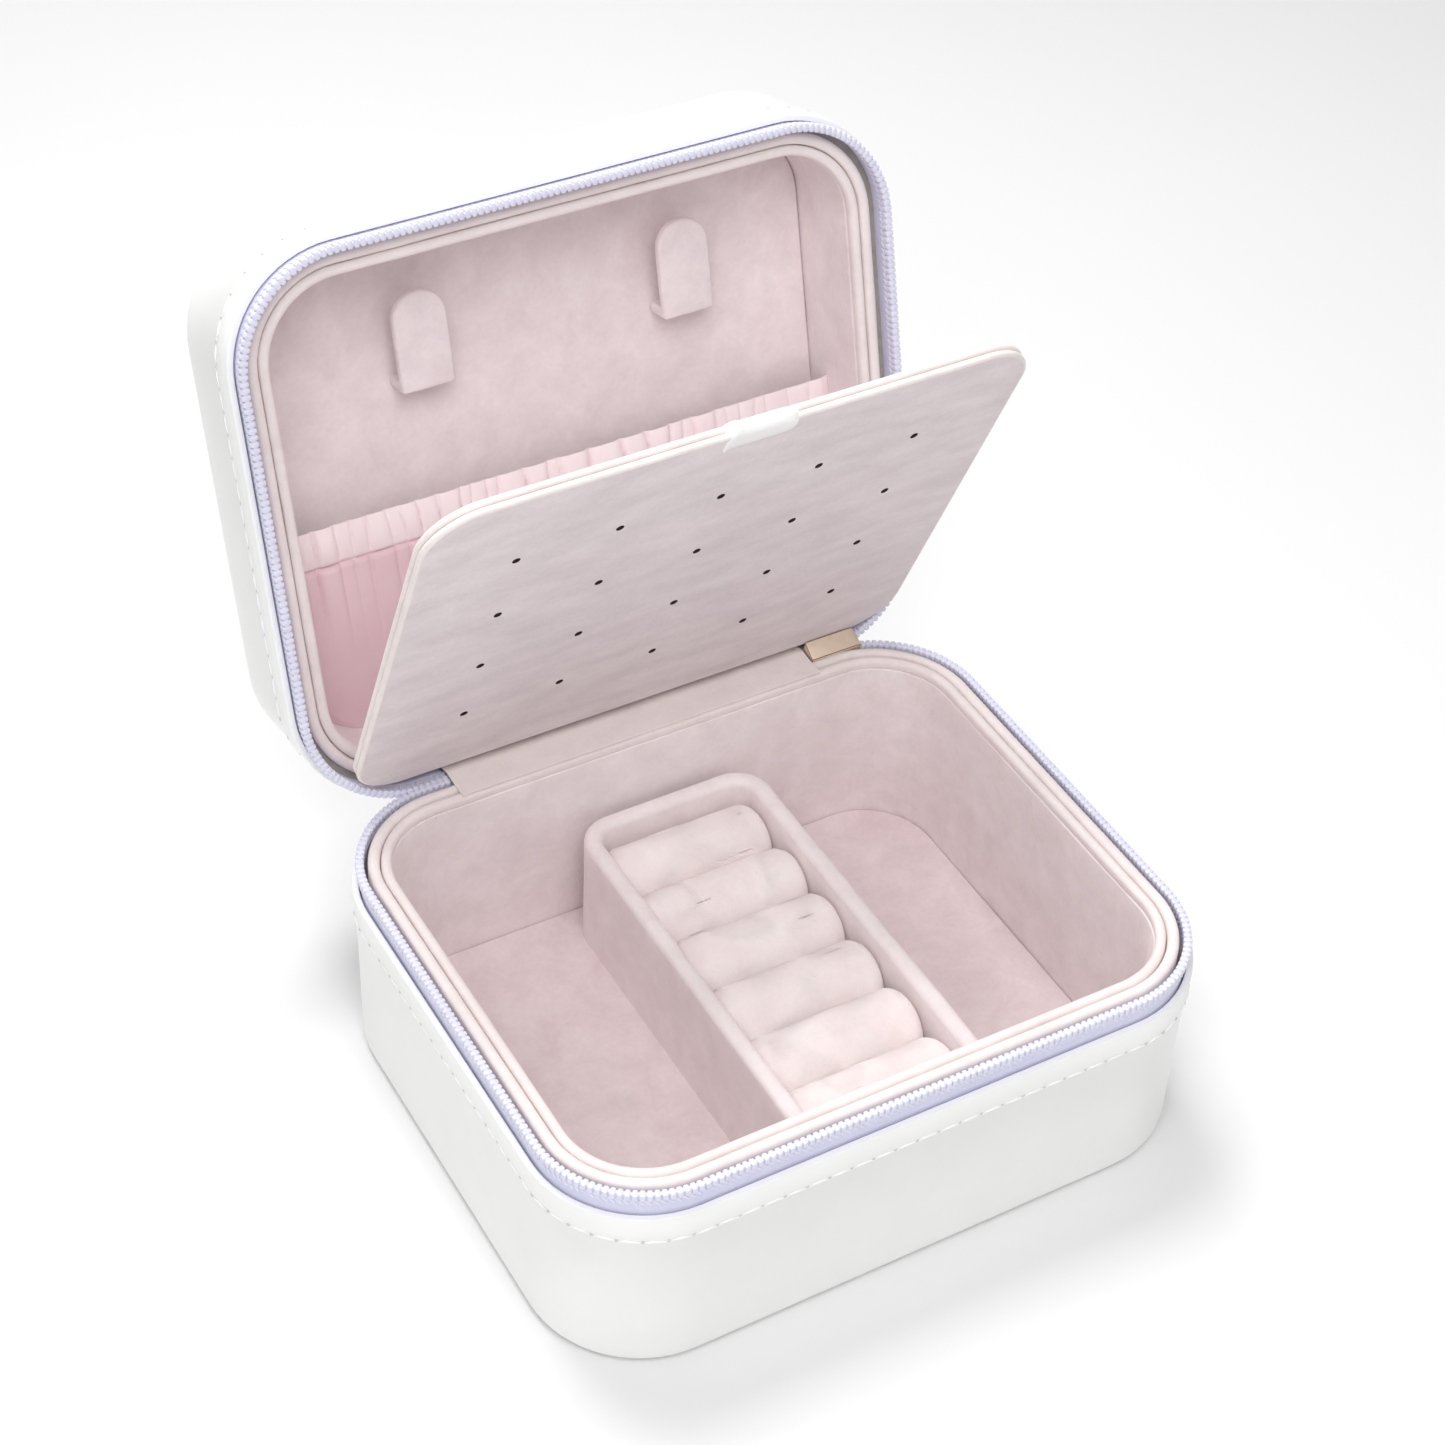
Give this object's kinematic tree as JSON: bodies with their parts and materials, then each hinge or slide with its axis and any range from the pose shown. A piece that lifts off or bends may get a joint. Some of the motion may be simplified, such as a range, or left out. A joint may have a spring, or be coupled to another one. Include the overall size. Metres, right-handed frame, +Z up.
{
  "type": "jewelry box",
  "caption": "Rounded zipped travel jewelry case, open, with ring rolls, two compartments, a hinged earring board, necklace hooks and a gathered lid pocket.",
  "frame": {"origin": "centre of the base's flat underside", "axes": "+Z up out of the base, +X along the hinge to the zip slider's end, +Y from the front to the hinge"},
  "size_m": [0.16, 0.1959, 0.1806],
  "materials": {
    "white_leather": "white grained artificial leather",
    "grey_board": "plain grey board",
    "foam": "thin padding foam",
    "zip_tape": "lilac woven tape",
    "zip_coil": "pale nylon coil",
    "velvet": "short-pile blush velvet",
    "roll_velvet": "paler velvet over foam",
    "satin": "thin gathered satin",
    "champagne_metal": "champagne lacquered zinc"
  },
  "bodies": {
    "base": {"base_cover_wall": "white_leather", "base_bottom_panel": "white_leather", "base_card_wall": "grey_board", "base_card_floor": "grey_board", "base_foam_wall": "foam", "base_zip_tape": "zip_tape", "base_zip_coil": "zip_coil", "base_lip": "velvet", "base_lining_wall": "velvet", "base_floor_pad": "velvet", "spine_base": "white_leather", "hinge_cloth_base": "velvet", "ring_tray": "velvet", "ring_foam_base": "roll_velvet", "ring_roll_1": "roll_velvet", "ring_roll_2": "roll_velvet", "ring_roll_3": "roll_velvet", "ring_roll_4": "roll_velvet", "ring_roll_5": "roll_velvet", "ring_roll_6": "roll_velvet", "zip_slider": "champagne_metal"},
    "pull": {"zip_pull": "champagne_metal"},
    "lid": {"lid_cover_wall": "white_leather", "lid_top_panel": "white_leather", "lid_card_wall": "grey_board", "lid_card_top": "grey_board", "lid_foam_wall": "foam", "lid_zip_tape": "zip_tape", "lid_zip_coil": "zip_coil", "lid_lip": "velvet", "lid_lining_wall": "velvet", "lid_back_panel": "velvet", "necklace_hook_left": "velvet", "necklace_hook_right": "velvet", "pocket_panel": "satin", "pocket_elastic": "satin", "spine_lid": "white_leather", "hinge_cloth_lid": "velvet"},
    "board": {"board_front": "velvet", "board_back": "velvet", "board_tab": "white_leather"}
  },
  "joints": [
    {"name": "lid_hinge", "type": "hinge", "parent": "base", "child": "lid", "pos_m": [0, 0.0648, 0.054], "axis": [1, 0, 0], "range_deg": [0, 104.4]},
    {"name": "board_hinge", "type": "hinge", "parent": "lid", "child": "board", "pos_m": [0, 0.06992, 0.05764], "axis": [1, 0, 0], "range_deg": [-38, 0]},
    {"name": "zip_pull_swing", "type": "hinge", "parent": "base", "child": "pull", "pos_m": [0.0546, 0.0679, 0.05165], "axis": [0, 1, 0], "range_deg": [-80, 60]}
  ],
  "couplings": [
    {"joint": "board_hinge", "follows": "lid_hinge", "ratio": -0.3639}
  ]
}
